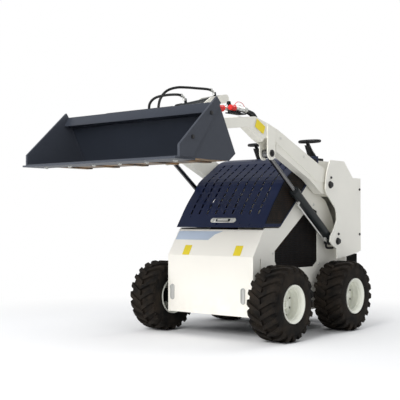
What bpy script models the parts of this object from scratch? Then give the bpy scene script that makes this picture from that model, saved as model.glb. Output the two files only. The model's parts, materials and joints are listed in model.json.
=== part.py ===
"""Wheeled mini skid steer loader, with its arms raised and its bucket level.

Metres. +Z is up, the machine faces -Y and +X is its left side. The origin is on the floor, midway along
the machine. Every piece below is placed in the machine's own frame, whose origin is midway between the
axles at axle height; the empty "machine" carries that frame to its place over the floor.
"""
import math

import bmesh
import bpy
from mathutils import Matrix, Vector
from mathutils.geometry import tessellate_polygon

# ---------------------------------------------------------------------------------------------------
# Driving dimensions
# ---------------------------------------------------------------------------------------------------
GAP = 0.0003            # between pieces that touch
RUN = 0.0008            # round a pin in a bore that turns on it
CLEAR = 0.007           # between pieces that move past each other

# running gear
WHEELBASE = 0.730
TYRE_RADIUS = 0.2285
TYRE_WIDTH = 0.200
WHEEL_GAP = 0.0335      # between the body's side and the tyre
RIM_RADIUS = 0.1155     # over the flanges
BEAD_DROP = 0.0105      # bead seat inside the rim's flanges
BEAD_INSET = 0.0175     # bead from the tyre's side
MOTOR_RADIUS = 0.046
WHEEL_SIDES = 40

# body
BODY_WIDTH = 0.677
PLATE = 0.008           # side frames and towers
PANEL = 0.005           # front panel and rear cover
NOSE_REACH = 0.100      # front panel ahead of the front axle
BELLY_DROP = 0.0885     # underside of the body below the axle line
BEND_RISE = 0.2745      # bend of the front panel above the axle line
NOSE_RISE = 0.4385      # top of the front panel above the axle line
NOSE_RAKE = 0.112       # how far the front panel leans back above its bend
TAIL_REACH = 0.317      # rear edge of the towers behind the rear axle
TOWER_GAP = 0.013       # between an arm and the outer tower plate
TOWER_CROWN = 0.164     # top of the towers above the arm pivots
TOWER_STEP = 0.056      # lower rear part of the towers above the arm pivots
TOWER_DEPTH = 0.181     # length of the towers' top
SHELF_DEPTH = 0.109     # length of their lower rear part
TOWER_BEHIND = 0.003    # front of the towers behind the arm pivots
WHEEL_SPACE = 0.013     # between a tyre and the tower's foot

# engine, as one block
ENGINE = (0.440, 0.340, 0.300)

# hood
HOOD_OVERHANG = 0.0085  # past the body on each side
HOOD_SHEET = 0.004
HOOD_OPEN_GAP = 0.007   # above the edges it shuts on
HOOD_CROWN = 0.028      # its rear edge above the towers
LEDGE_RISE = 0.010      # side frame's ledge above the front panel
LEDGE_REACH = 0.281     # rear end of the ledge behind the nose
SLOPE_RISE = 0.112      # upper end of the side frame's slope above the arm pivots
HINGE_PLACE = (-0.013, 0.022)   # hood hinge from the top front corner of the towers, (y, z)
SLOT_WIDTH = 0.013
SLOT_LENGTH = 0.034
SLOT_PITCH = 0.047      # from slot to slot along the hood
SLOT_START = 0.120      # middle of the first slot, from the front lip
SLOT_ROWS = 11
SLOT_COLUMNS = 9
SLOT_SPREAD = 0.270     # outermost columns, from the middle

# arms, lift cylinders and their pins
ARM_GAP = 0.0175        # between the body's side and the arm
ARM_WIDTH = 0.058
ARM_WALL = 0.0085
EAR_WALL = 0.007        # outer ear, welded on the arm's side
PIVOT_AHEAD = 0.093     # arm pivots ahead of the rear axle
PIVOT_RISE = 0.7305     # arm pivots above the axle line
PIN_RADIUS = 0.018
BASE_BEHIND = 0.002     # lift cylinder base pins behind the rear axle
BASE_RISE = 0.3565      # the same above the axle line
LIFT_EYE = (-0.657, 0.170)      # (y, z) of the lift rod's pin from the arm pivot
LIFT_BARREL_RADIUS = 0.0285
LIFT_BARREL_LENGTH = 0.557      # pin to gland face
LIFT_ROD_RADIUS = 0.0145
LIFT_ROD_INSIDE = 0.203         # rod inside the barrel as it stands
BORE_END = 0.008        # closed end of a barrel
ROD_PLAY = 0.0015       # round a rod in its barrel
EYE_RADIUS = 0.027
EYE_PLAY = 0.0015       # between the lift rod's eye and the arm's walls
EAR_RADIUS = 0.040

# tilt cylinder and quick hitch, (y, z) from the arm pivot
HITCH_PIVOT = (-1.207, 0.176)
TILT_EYE = (-1.292, 0.369)
TILT_BASE = (-0.617, 0.537)
TILT_BARREL_RADIUS = 0.0275
TILT_BARREL_LENGTH = 0.430
TILT_ROD_RADIUS = 0.0140
TILT_ROD_INSIDE = 0.170
PORT_RADIUS = 0.009
PORT_HEIGHT = 0.026
PORT_INSET = (0.052, 0.348)     # ports along the tilt barrel, from its pin
LUG_PLATE = 0.012
LEG_PLANE = 0.200       # middle of each coupler leg
LEG_WIDTH = 0.026
LEG_RADIUS = 0.030
BEAM = 0.050            # square beams between the arms
FRONT_BEAM = (-1.062, 0.303)    # (y, z) from the arm pivot
REAR_BEAM = (-0.872, 0.351)
CHEEK_RADIUS = 0.028    # round the tilt cylinder's pin
SMALL_PIN = 0.015       # radius of the tilt cylinder's and the hitch's pins
SIDE_PLAY = 0.002       # between an eye and each cheek beside it
BASE_EYE_WIDTH = 2 * TILT_BARREL_RADIUS + 0.008     # keeps the cheeks clear of the barrel
WELD = 0.002            # how far welded pieces run into each other

# bucket, (y, z) from the hitch pivot
BUCKET_WIDTH = 1.170
BUCKET_SHEET = 0.006
SIDE_SHEET = 0.008
EDGE_PLATE = 0.010      # cutting edge
HITCH_WIDTH = 0.520
HITCH_HEIGHT = 0.300
HITCH_SHEET = 0.010

# operator's platform
STEP_WIDTH = 0.520
STEP_DEPTH = 0.172
STEP_THICK = 0.030
STEP_RISE = -0.050      # top of the platform above the axle line
STEP_BEHIND = 0.018     # its hinge behind the rear of the body
STEP_GAP = 0.002        # between the hinge's axis and the platform

# control levers
LEVER_SPREAD = 0.216
LEVER_BEHIND = 0.098    # behind the arm pivots
LEVER_RISE = 0.306      # grips above the arm pivots
LEVER_LOOP = (0.078, 0.040)     # half length and half depth of a grip
LEVER_TUBE = 0.010
LEVER_POST = 0.012
LEVER_LEAN = 0.085      # foot of a lever behind its grip's front
CONSOLE = (0.560, 0.150, 0.024)
CONSOLE_INSET = 0.013   # rear of the console from the rear of the towers' top

# ---------------------------------------------------------------------------------------------------
# Places worked out from the dimensions, as (y, z) in the machine's frame
# ---------------------------------------------------------------------------------------------------
HALF_BODY = BODY_WIDTH / 2
TRACK = BODY_WIDTH + 2 * WHEEL_GAP + TYRE_WIDTH
ARM_PLANE = HALF_BODY + ARM_GAP + ARM_WIDTH / 2
EYE_WIDTH = ARM_WIDTH - 2 * (ARM_WALL + EYE_PLAY)
FRONT_AXLE = -WHEELBASE / 2
REAR_AXLE = WHEELBASE / 2
NOSE = FRONT_AXLE - NOSE_REACH
TAIL = REAR_AXLE + TAIL_REACH
PIVOT = Vector((REAR_AXLE - PIVOT_AHEAD, PIVOT_RISE))
LIFT_BASE = Vector((REAR_AXLE + BASE_BEHIND, BASE_RISE))
LIFT_PIN = PIVOT + Vector(LIFT_EYE)
HITCH = PIVOT + Vector(HITCH_PIVOT)
TILT_PIN = PIVOT + Vector(TILT_EYE)
TILT_FOOT = PIVOT + Vector(TILT_BASE)
TOWER_TOP = PIVOT_RISE + TOWER_CROWN
TOWER_SHELF = PIVOT_RISE + TOWER_STEP
TOWER_FRONT = PIVOT.x + TOWER_BEHIND
TOWER_FOOT = TYRE_RADIUS + WHEEL_SPACE
ARM_IN = ARM_PLANE - ARM_WIDTH / 2
ARM_OUT = ARM_PLANE + ARM_WIDTH / 2
HALF_TOWER = ARM_OUT + TOWER_GAP + PLATE
SIDES = (("left", 1), ("right", -1))
STEP_HINGE = Vector((TAIL + STEP_BEHIND, STEP_RISE))
HOOD_HINGE = Vector((TOWER_FRONT, TOWER_TOP)) + Vector(HINGE_PLACE)
HOOD_REAR = TOWER_FRONT - HOOD_OPEN_GAP
LEDGE = NOSE_RISE + LEDGE_RISE

# bucket profile from the hitch pivot, (y, z): lip, back, floor
BUCKET_TOP = Vector((-0.178, 0.217))
BUCKET_HEEL = Vector((-0.031, -0.051))
BUCKET_FLOOR = Vector((-0.087, -0.092))
BUCKET_TOE = Vector((-0.499, -0.092))
BUCKET_CHEEK = Vector((-0.499, -0.030))
BUCKET_PEAK = Vector((-0.196, 0.241))
EDGE_REACH = 0.027      # cutting edge ahead of the cheeks
LIP_NOSE = Vector((-0.037, -0.057))     # bend of the top lip, from the top of the back
LIP_FOOT = 0.072        # where the lip meets the back, below its top

FOREMOST = HITCH.x + BUCKET_TOE.x - EDGE_REACH
REARMOST = STEP_HINGE.x + STEP_GAP + STEP_DEPTH

# ---------------------------------------------------------------------------------------------------
# Colours: name -> (red, green, blue, roughness, metallic)
# ---------------------------------------------------------------------------------------------------
FINISHES = {
    "body_paint": (0.82, 0.81, 0.76, 0.42, 0.0),
    "hood_paint": (0.012, 0.016, 0.035, 0.28, 0.0),
    "bucket_paint": (0.045, 0.050, 0.060, 0.40, 0.0),
    "cylinder_paint": (0.045, 0.050, 0.050, 0.38, 0.0),
    "rod_steel": (0.45, 0.45, 0.44, 0.25, 1.0),
    "tyre_rubber": (0.020, 0.019, 0.018, 0.85, 0.0),
    "rim_paint": (0.80, 0.77, 0.66, 0.40, 0.0),
    "black_steel": (0.020, 0.020, 0.022, 0.50, 0.0),
    "pin_steel": (0.10, 0.10, 0.10, 0.35, 0.9),
    "grip_plastic": (0.012, 0.012, 0.013, 0.35, 0.0),
    "cast_metal": (0.06, 0.06, 0.065, 0.60, 0.4),
}


# ---------------------------------------------------------------------------------------------------
# Tools
# ---------------------------------------------------------------------------------------------------
def clear_scene():
    for thing in list(bpy.data.objects):
        bpy.data.objects.remove(thing, do_unlink=True)


def finish(name):
    material = bpy.data.materials.get(name)
    if material is None:
        red, green, blue, roughness, metallic = FINISHES[name]
        material = bpy.data.materials.new(name)
        material.use_nodes = True
        shader = material.node_tree.nodes["Principled BSDF"]
        shader.inputs["Base Color"].default_value = (red, green, blue, 1.0)
        shader.inputs["Roughness"].default_value = roughness
        shader.inputs["Metallic"].default_value = metallic
        material.diffuse_color = (red, green, blue, 1.0)
    return material


def frame(name, place, parent=None):
    """An empty: place is (x, y, z) in the machine's frame, which its parent's place is taken from."""
    empty = bpy.data.objects.new(name, None)
    bpy.context.collection.objects.link(empty)
    empty["place"] = tuple(place)
    if parent is None:
        empty.location = place
        empty["place"] = (0.0, 0.0, 0.0)
    else:
        empty.parent = parent
        empty.location = Vector(place) - Vector(parent["place"])
    return empty


def piece(name, mesh_bm, material, parent, smooth=False):
    """Makes an object from a bmesh in the machine's frame, with its origin on its parent."""
    bmesh.ops.recalc_face_normals(mesh_bm, faces=mesh_bm.faces)
    mesh = bpy.data.meshes.new(name)
    mesh_bm.transform(Matrix.Translation(-Vector(parent["place"])))
    mesh_bm.to_mesh(mesh)
    mesh_bm.free()
    mesh.materials.append(finish(material))
    if smooth:
        mesh.shade_smooth()
        mesh.set_sharp_from_angle(angle=math.radians(35))
    thing = bpy.data.objects.new(name, mesh)
    bpy.context.collection.objects.link(thing)
    thing.parent = parent
    return thing


def combine(name, base, others, operation, material, parent, smooth=False):
    """Joins other bmeshes to the base, or cuts them from it."""
    target = piece(name, base, material, parent, smooth)
    add_tools(target, others, operation)
    return target


def add_tools(target, others, operation):
    """Exact Booleans on a piece, each with its own hidden tool."""
    for other in others:
        number = len(target.modifiers)
        tool = piece("%s_tool_%d" % (target.name, number), other, target.active_material.name, target.parent)
        modifier = target.modifiers.new("boolean_%d" % number, "BOOLEAN")
        modifier.operation = operation
        modifier.solver = "EXACT"
        modifier.object = tool
        tool.hide_render = True
        tool.display_type = "WIRE"


def arc(centre, radius, start, end, steps):
    """Points (y, z) on an arc; angles in degrees, from +Y towards +Z."""
    turn = [math.radians(start + (end - start) * k / steps) for k in range(steps + 1)]
    return [(centre[0] + radius * math.cos(t), centre[1] + radius * math.sin(t)) for t in turn]


def circle(centre, radius, sides=24):
    return arc(centre, radius, 0, 360 - 360 / sides, sides - 1)


def offset(points, distance):
    """An open (y, z) polyline moved sideways to its left, with mitred bends."""
    points = [Vector(p) for p in points]
    normals = []
    for first, second in zip(points, points[1:]):
        run = (second - first).normalized()
        normals.append(Vector((-run.y, run.x)))
    moved = []
    for k, point in enumerate(points):
        before = normals[max(k - 1, 0)]
        after = normals[min(k, len(normals) - 1)]
        middle = (before + after).normalized()
        moved.append(point + middle * (distance / middle.dot(after)))
    return moved


def strip(points, thickness):
    """The closed outline of a bent sheet whose right-hand face follows the points."""
    return [Vector(p) for p in points] + list(reversed(offset(points, thickness)))


def smooth_through(points, steps):
    """A Catmull-Rom curve through the points, of any dimension."""
    points = [Vector(p) for p in points]
    ends = [2 * points[0] - points[1]] + points + [2 * points[-1] - points[-2]]
    curve = []
    for k in range(1, len(ends) - 2):
        a, b, c, d = ends[k - 1:k + 3]
        for n in range(steps):
            t = n / steps
            curve.append(0.5 * (2 * b + (c - a) * t + (2 * a - 5 * b + 4 * c - d) * t * t
                                + (3 * b - a - 3 * c + d) * t ** 3))
    curve.append(points[-1])
    return curve


def prism(outline, low, high, holes=()):
    """A plate: a (y, z) outline with holes, from x = low to x = high."""
    loops = [[Vector(p) for p in outline]] + [[Vector(p) for p in hole] for hole in holes]
    flat = [[Vector((0.0, p.x, p.y)) for p in loop] for loop in loops]
    triangles = tessellate_polygon(flat)
    bm = bmesh.new()
    rows = []
    for x in (low, high):
        rows.append([bm.verts.new((x, p.x, p.y)) for loop in loops for p in loop])
    for triangle in triangles:
        for row in rows:
            bm.faces.new([row[k] for k in triangle])
    start = 0
    for loop in loops:
        count = len(loop)
        for k in range(count):
            here = start + k
            after = start + (k + 1) % count
            bm.faces.new((rows[0][here], rows[0][after], rows[1][after], rows[1][here]))
        start += count
    bmesh.ops.dissolve_limit(bm, angle_limit=0.001, verts=bm.verts, edges=bm.edges)
    return bm


def mirrored(low, high, side):
    """The x range low to high, on the left (side 1) or the right (side -1)."""
    return (low, high) if side > 0 else (-high, -low)


def box(low, high):
    bm = bmesh.new()
    bmesh.ops.create_cube(bm, size=1.0)
    size = Vector(high) - Vector(low)
    middle = (Vector(high) + Vector(low)) / 2
    bm.transform(Matrix.Translation(middle) @ Matrix.Diagonal((*size, 1.0)))
    return bm


def turned(outline, centre, sides=32, phase=0.0):
    """A body turned about an X axis through centre. outline: closed loop of (x, radius) from centre."""
    bm = bmesh.new()
    rings = []
    for x, radius in outline:
        if radius < 1e-6:
            rings.append([bm.verts.new((centre[0] + x, centre[1], centre[2]))])
            continue
        ring = []
        for k in range(sides):
            t = 2 * math.pi * (k + phase) / sides
            ring.append(bm.verts.new((centre[0] + x, centre[1] + radius * math.sin(t),
                                      centre[2] - radius * math.cos(t))))
        rings.append(ring)
    for first, second in zip(rings, rings[1:] + rings[:1]):
        if len(first) == 1 and len(second) == 1:
            continue
        for k in range(sides):
            corners = [first[k % len(first)], first[(k + 1) % len(first)],
                       second[(k + 1) % len(second)], second[k % len(second)]]
            bm.faces.new(list(dict.fromkeys(corners)))
    return bm


def rod(start, end, radius, sides=24, bore=0.0):
    """A round bar, or a tube with a blind bore from its end, between two (x, y, z) points."""
    start = Vector(start)
    end = Vector(end)
    length = (end - start).length
    outline = [(0.0, 0.0), (0.0, radius), (length, radius)]
    if bore:
        outline += [(length, bore), (BORE_END, bore), (BORE_END, 0.0)]
    else:
        outline += [(length, 0.0)]
    bm = turned(outline, (0.0, 0.0, 0.0), sides)
    turn = Vector((1.0, 0.0, 0.0)).rotation_difference(end - start)
    bm.transform(Matrix.Translation(start) @ turn.to_matrix().to_4x4())
    return bm


def sweep(path, radius, sides=12):
    """A round bar that follows a path of (x, y, z) points, mitred at its bends."""
    bm = bmesh.new()
    runs = [(b - a).normalized() for a, b in zip(path, path[1:])]
    rows = []
    for k, point in enumerate(path):
        before = runs[max(k - 1, 0)]
        after = runs[min(k, len(runs) - 1)]
        facing = (before + after).normalized()
        across = Vector((1.0, 0.0, 0.0))
        up = facing.cross(across).normalized() / facing.dot(after)
        turn = [2 * math.pi * n / sides for n in range(sides)]
        rows.append([bm.verts.new(point + radius * (math.cos(t) * across + math.sin(t) * up)) for t in turn])
    for first, second in zip(rows, rows[1:]):
        for n in range(sides):
            after = (n + 1) % sides
            bm.faces.new((first[n], first[after], second[after], second[n]))
    bm.faces.new(list(reversed(rows[0])))
    bm.faces.new(rows[-1])
    return bm


def at_x(x, point):
    return Vector((x, point[0], point[1]))


def pin(name, side, low, high, centre, radius, parent):
    """A cross pin from x = low to x = high on one side of the machine."""
    first, second = mirrored(low, high, side)
    return piece(name, rod(at_x(first, centre), at_x(second, centre), radius), "pin_steel", parent, True)


# ---------------------------------------------------------------------------------------------------
# Running gear
# ---------------------------------------------------------------------------------------------------
def tyre_outline():
    half = TYRE_WIDTH / 2
    seat = RIM_RADIUS - BEAD_DROP
    bead = half - BEAD_INSET
    crown = TYRE_RADIUS / math.cos(math.pi / WHEEL_SIDES)
    edge = [(bead, seat), (bead, RIM_RADIUS + GAP), (half - 0.005, RIM_RADIUS + 0.002),
            (half, RIM_RADIUS + 0.020), (half, TYRE_RADIUS - 0.038), (half - 0.007, TYRE_RADIUS - 0.014),
            (half - 0.026, crown)]
    return edge + [(-x, radius) for x, radius in reversed(edge)]


def rim_outline():
    half = TYRE_WIDTH / 2 - 0.002
    seat = RIM_RADIUS - BEAD_DROP - GAP
    inner = seat - 0.005
    bead = TYRE_WIDTH / 2 - BEAD_INSET + GAP
    outer = [(bead, seat), (bead, RIM_RADIUS), (half, RIM_RADIUS), (half, RIM_RADIUS - 0.006)]
    nave = [(bead, inner), (0.045, inner - 0.006), (0.016, inner - 0.014), (0.012, 0.0), (0.004, 0.0),
            (0.006, inner - 0.016), (-0.004, inner - 0.006), (-bead, inner)]
    far = [(-half, RIM_RADIUS - 0.006), (-half, RIM_RADIUS), (-bead, RIM_RADIUS), (-bead, seat)]
    return outer + nave + far


def wheels(machine):
    for end, axle in (("front", FRONT_AXLE), ("rear", REAR_AXLE)):
        for hand, side in SIDES:
            centre = Vector((side * TRACK / 2, axle, 0.0))
            hub = frame("wheel_%s_%s_axis" % (end, hand), centre, machine)
            for part, outline, material in (("tyre", tyre_outline(), "tyre_rubber"),
                                            ("rim", rim_outline(), "rim_paint")):
                profile = [(side * x, radius) for x, radius in outline]
                body = turned(profile, centre, WHEEL_SIDES, 0.5)
                piece("%s_%s_%s" % (part, end, hand), body, material, hub, True)
            reach = TRACK / 2 - CLEAR
            low = at_x(side * (HALF_BODY + GAP), (axle, 0.0))
            high = at_x(side * reach, (axle, 0.0))
            piece("wheel_motor_%s_%s" % (end, hand), rod(low, high, MOTOR_RADIUS), "black_steel",
                  machine, True)


# ---------------------------------------------------------------------------------------------------
# Body
# ---------------------------------------------------------------------------------------------------
def nose_line():
    return [(NOSE, -BELLY_DROP), (NOSE, BEND_RISE), (NOSE + NOSE_RAKE, NOSE_RISE)]


def rear_line():
    """Front wall, top, slope, shelf and back of the rear body."""
    return [(TOWER_FRONT, PIVOT_RISE - 0.150)] + tower_top() + [(TAIL, -BELLY_DROP + 0.100)]


def tower_top():
    """Top, slope and shelf of the towers from front to rear."""
    return [(TOWER_FRONT, TOWER_TOP), (TOWER_FRONT + TOWER_DEPTH, TOWER_TOP),
            (TAIL - SHELF_DEPTH, TOWER_SHELF), (TAIL, TOWER_SHELF)]


def side_outline():
    """Side frame: nose, ledge under the hood, the hood's slope, tower top, tail and belly."""
    nose = offset(nose_line(), -(PANEL + GAP))
    slope_foot = (NOSE + LEDGE_REACH, LEDGE)
    slope_head = (TOWER_FRONT, PIVOT_RISE + SLOPE_RISE)
    return (nose + [(nose[-1][0] + 0.006, LEDGE), slope_foot, slope_head]
            + tower_top() + [(TAIL, -0.030), (TAIL - 0.045, -BELLY_DROP)])


def mesh_outline(margin=0.0):
    """The opening for the side screen; a margin makes it larger all round."""
    rear = PIVOT.x - 0.010 + margin
    head = PIVOT_RISE - 0.152 + margin
    sill = TYRE_RADIUS - 0.037 - margin
    front = NOSE + 0.230 - margin
    return [(front, sill + 0.050), (front + 0.035, sill), (rear - 0.050, sill), (rear, sill + 0.035),
            (rear, head - 0.020), (rear - 0.060, head), (rear - 0.165, head - 0.045),
            (front, sill + 0.115)]


def tower_window():
    """The opening behind each arm's end, in the side frame."""
    return [PIVOT + Vector(p) for p in ((0.035, -0.075), (0.095, -0.100), (0.172, -0.195),
                                        (0.222, -0.288), (0.330, -0.288), (0.330, -0.075))]


def side_frames(machine):
    slot = [(NOSE + 0.072, 0.184), (NOSE + 0.083, 0.184), (NOSE + 0.083, 0.262), (NOSE + 0.072, 0.262)]
    for hand, side in SIDES:
        low, high = mirrored(HALF_BODY - PLATE, HALF_BODY, side)
        holes = (slot, mesh_outline(), tower_window())
        piece("side_frame_" + hand, prism(side_outline(), low, high, holes), "body_paint", machine)
        low, high = mirrored(HALF_BODY - PLATE - GAP - 0.003, HALF_BODY - PLATE - GAP, side)
        piece("side_screen_" + hand, prism(mesh_outline(0.012), low, high), "black_steel", machine)


def tower_outline():
    """Outer tower plate, (y, z) from the arm pivot where it carries the arm and the cylinder."""
    tail = tower_top() + [(TAIL, TOWER_FOOT + 0.045), (TAIL - 0.042, TOWER_FOOT + 0.033),
                          (REAR_AXLE + 0.124, TOWER_FOOT + 0.011), (REAR_AXLE - 0.004, TOWER_FOOT)]
    ear = [LIFT_BASE + Vector(p) for p in ((-0.012, -0.050), (-0.066, -0.028), (-0.098, 0.000),
                                           (-0.090, 0.032), (-0.040, 0.088), (-0.010, 0.140))]
    throat = [PIVOT + Vector(p) for p in ((0.085, -0.185), (0.070, -0.155), (-0.038, -0.064),
                                          (-0.060, -0.026), (-0.039, 0.082))]
    return tail + ear + throat


def towers(machine):
    for hand, side in SIDES:
        low, high = mirrored(HALF_TOWER - PLATE, HALF_TOWER, side)
        plate = prism(tower_outline(), low, high)
        inner, outer = mirrored(HALF_BODY + GAP, HALF_TOWER - PLATE / 2, side)
        back = box((inner, TAIL - PLATE, TOWER_FOOT + 0.060), (outer, TAIL - 0.001, TOWER_SHELF - 0.001))
        combine("tower_" + hand, plate, [back], "UNION", "body_paint", machine)
        pins = (("arm_pivot_pin_", PIVOT), ("lift_base_pin_", LIFT_BASE))
        for name, centre in pins:
            pin(name + hand, side, HALF_BODY + GAP, HALF_TOWER - PLATE - GAP, centre, PIN_RADIUS, machine)


def body_shell(machine):
    width = HALF_BODY - PLATE - GAP
    front = prism(strip(nose_line(), -PANEL), -HALF_BODY, HALF_BODY)
    piece("front_panel", front, "body_paint", machine)
    belly = box((-width, NOSE + PANEL + GAP, -BELLY_DROP), (width, TAIL - 0.050, -BELLY_DROP + PLATE))
    piece("belly_pan", belly, "black_steel", machine)
    cover = prism(strip(rear_line(), -PANEL), -width, width)
    piece("rear_cover", cover, "body_paint", machine)
    engine_low = -BELLY_DROP + PLATE + GAP
    middle = FRONT_AXLE + 0.225
    engine = box((-ENGINE[0] / 2, middle - ENGINE[1] / 2, engine_low),
                 (ENGINE[0] / 2, middle + ENGINE[1] / 2, engine_low + ENGINE[2]))
    piece("engine_block", engine, "cast_metal", machine)


def console(machine):
    back = TOWER_FRONT + TOWER_DEPTH - CONSOLE_INSET
    low = (-CONSOLE[0] / 2, back - CONSOLE[1], TOWER_TOP + GAP)
    high = (CONSOLE[0] / 2, back, TOWER_TOP + GAP + CONSOLE[2])
    piece("console", box(low, high), "black_steel", machine)
    for hand, side in SIDES:
        grip = Vector((side * LEVER_SPREAD, PIVOT.x + LEVER_BEHIND, PIVOT_RISE + LEVER_RISE))
        post_top = grip - Vector((0.0, LEVER_LOOP[1], 0.0))
        foot = Vector((grip.x, post_top.y + LEVER_LEAN, high[2] + GAP))
        knee = foot + Vector((0.0, 0.0, 2 * LEVER_POST))
        loop = ring(grip, LEVER_LOOP, LEVER_TUBE)
        post = sweep([foot, knee, post_top], LEVER_POST)
        combine("lever_" + hand, loop, [post], "UNION", "grip_plastic", machine, True)


def ring(centre, halves, radius, around=24, sides=10):
    """A flat oval ring of round section."""
    bm = bmesh.new()
    rows = []
    for k in range(around):
        t = 2 * math.pi * k / around
        out = Vector((math.cos(t), math.sin(t), 0.0))
        middle = centre + Vector((halves[0] * out.x, halves[1] * out.y, 0.0))
        row = []
        for n in range(sides):
            s = 2 * math.pi * n / sides
            row.append(bm.verts.new(middle + radius * (math.cos(s) * out + math.sin(s) * Vector((0, 0, 1)))))
        rows.append(row)
    for first, second in zip(rows, rows[1:] + rows[:1]):
        for n in range(sides):
            after = (n + 1) % sides
            bm.faces.new((first[n], second[n], second[after], first[after]))
    return bm


def platform(machine):
    axis = frame("platform_axis", at_x(0.0, STEP_HINGE), machine)
    front = STEP_HINGE.x + STEP_GAP
    deck = box((-STEP_WIDTH / 2, front, STEP_RISE - STEP_THICK),
               (STEP_WIDTH / 2, front + STEP_DEPTH, STEP_RISE))
    piece("platform_deck", deck, "black_steel", axis)


# ---------------------------------------------------------------------------------------------------
# Hood
# ---------------------------------------------------------------------------------------------------
def hood_line():
    """The hood's face from its front lip to its rear edge, (y, z)."""
    front = [(NOSE + 0.093, NOSE_RISE + 0.013), (NOSE + 0.190, NOSE_RISE + 0.1535),
             (NOSE + 0.270, NOSE_RISE + 0.2455), (NOSE + 0.325, NOSE_RISE + 0.3135),
             (NOSE + 0.440, NOSE_RISE + 0.3855), (NOSE + 0.565, NOSE_RISE + 0.4600)]
    top = TOWER_TOP + HOOD_CROWN
    return smooth_through(front + [(TOWER_FRONT - 0.050, top - 0.001), (HOOD_REAR, top)], 3)


def hood_slots(line):
    """Cutters for the cooling slots: columns that run from the front up over the hood."""
    bm = bmesh.new()
    travelled = 0.0
    centres = []
    for first, second in zip(line, line[1:]):
        run = (second - first).length
        while len(centres) < SLOT_ROWS and SLOT_START + SLOT_PITCH * len(centres) < travelled + run:
            along_run = (SLOT_START + SLOT_PITCH * len(centres) - travelled) / run
            centres.append((first.lerp(second, along_run), second - first))
        travelled += run
    for centre, run in centres:
        turn = Matrix.Rotation(math.atan2(run.y, run.x), 4, "X")
        for column in range(SLOT_COLUMNS):
            x = SLOT_SPREAD * (2 * column / (SLOT_COLUMNS - 1) - 1)
            size = Matrix.Diagonal((SLOT_WIDTH, SLOT_LENGTH, HOOD_SHEET * 8, 1.0))
            bmesh.ops.create_cube(bm, size=1.0, matrix=Matrix.Translation(at_x(x, centre)) @ turn @ size)
    return bm


def hood(machine):
    axis = frame("hood_axis", at_x(0.0, HOOD_HINGE), machine)
    half = HALF_BODY + HOOD_OVERHANG
    line = hood_line()
    ledge = LEDGE + HOOD_OPEN_GAP
    lower = [(HOOD_REAR, PIVOT_RISE + SLOPE_RISE + HOOD_OPEN_GAP), (NOSE + LEDGE_REACH, ledge),
             (line[0].x + 0.012, ledge)]
    outer = prism(list(line) + lower, -half, half)
    inside = offset(line, -HOOD_SHEET)
    wall = HOOD_REAR - HOOD_SHEET
    below = NOSE_RISE - 0.100
    inside = inside[1:-1] + [(wall, inside[-1].y), (wall, below), (line[0].x + 0.014, below)]
    inner = prism(inside, -half + HOOD_SHEET, half - HOOD_SHEET)
    combine("hood", outer, [inner, hood_slots(line)], "DIFFERENCE", "hood_paint", axis, True)


# ---------------------------------------------------------------------------------------------------
# Arms
# ---------------------------------------------------------------------------------------------------
def arm_outline():
    """The side of an arm from its rear end forwards along the top and back underneath."""
    top = [(0.046, 0.071), (-0.581, 0.319), (-0.679, 0.346), (-0.817, 0.379), (-1.165, 0.337)]
    under = [(-1.165, 0.278), (-0.887, 0.311), (-0.763, 0.246), (-0.605, 0.187), (-0.221, 0.029),
             (-0.078, -0.058)]
    return [PIVOT + Vector(p) for p in top + under] + arc(PIVOT, 0.062, -90, 18, 8)


def arm_pocket():
    """The hollow in an arm's underside that the lift rod's eye swings into, (y, z)."""
    corners = ((0.055, -0.020), (0.055, 0.055), (0.030, 0.088), (-0.065, 0.088), (-0.080, 0.075),
               (-0.080, -0.020))
    return [LIFT_PIN + Vector(p) for p in corners]


def ear_outline():
    """Round under the lift rod's pin, with its sides up into the arm."""
    sides = [LIFT_PIN + Vector(p) for p in ((EAR_RADIUS, 0.150), (-EAR_RADIUS, 0.170))]
    return arc(LIFT_PIN, EAR_RADIUS, 180, 360, 12) + sides


def arms(machine):
    body = frame("arms_axis", at_x(0.0, PIVOT), machine)
    bore = circle(PIVOT, PIN_RADIUS + RUN)
    for hand, side in SIDES:
        low, high = mirrored(ARM_IN, ARM_OUT, side)
        bar = prism(arm_outline(), low, high, [bore])
        low, high = mirrored(ARM_IN + ARM_WALL, ARM_OUT + 0.001, side)
        pocket = prism(arm_pocket(), low, high)
        arm = combine("arm_" + hand, bar, [pocket], "DIFFERENCE", "body_paint", body)
        ears = ((ARM_IN, ARM_IN + ARM_WALL), (ARM_OUT - 0.0005, ARM_OUT + EAR_WALL))
        ends = [mirrored(first, second, side) for first, second in ears]
        add_tools(arm, [prism(ear_outline(), low, high) for low, high in ends], "UNION")
    hitch_beam(body)
    tilt_beam(body)


def cross_beam(centre):
    reach = ARM_IN - GAP
    return box((-reach, centre.x - BEAM / 2, centre.y - BEAM / 2),
               (reach, centre.x + BEAM / 2, centre.y + BEAM / 2))


def hitch_beam(body):
    """Front beam between the arms, with a welded leg down to each hitch pivot."""
    beam = PIVOT + Vector(FRONT_BEAM)
    inside = BEAM / 2 - WELD
    outline = arc(HITCH, LEG_RADIUS, 120, 300, 10) + [
        (beam.x + inside - WELD, beam.y - BEAM), (beam.x + inside - WELD, beam.y + WELD),
        (beam.x - BEAM / 2 - 0.020, beam.y + WELD)]
    legs = []
    for hand, side in SIDES:
        low, high = mirrored(LEG_PLANE - LEG_WIDTH / 2, LEG_PLANE + LEG_WIDTH / 2, side)
        legs.append(prism(outline, low, high, [circle(HITCH, SMALL_PIN + RUN)]))
    combine("hitch_beam", cross_beam(beam), legs, "UNION", "body_paint", body)


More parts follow.
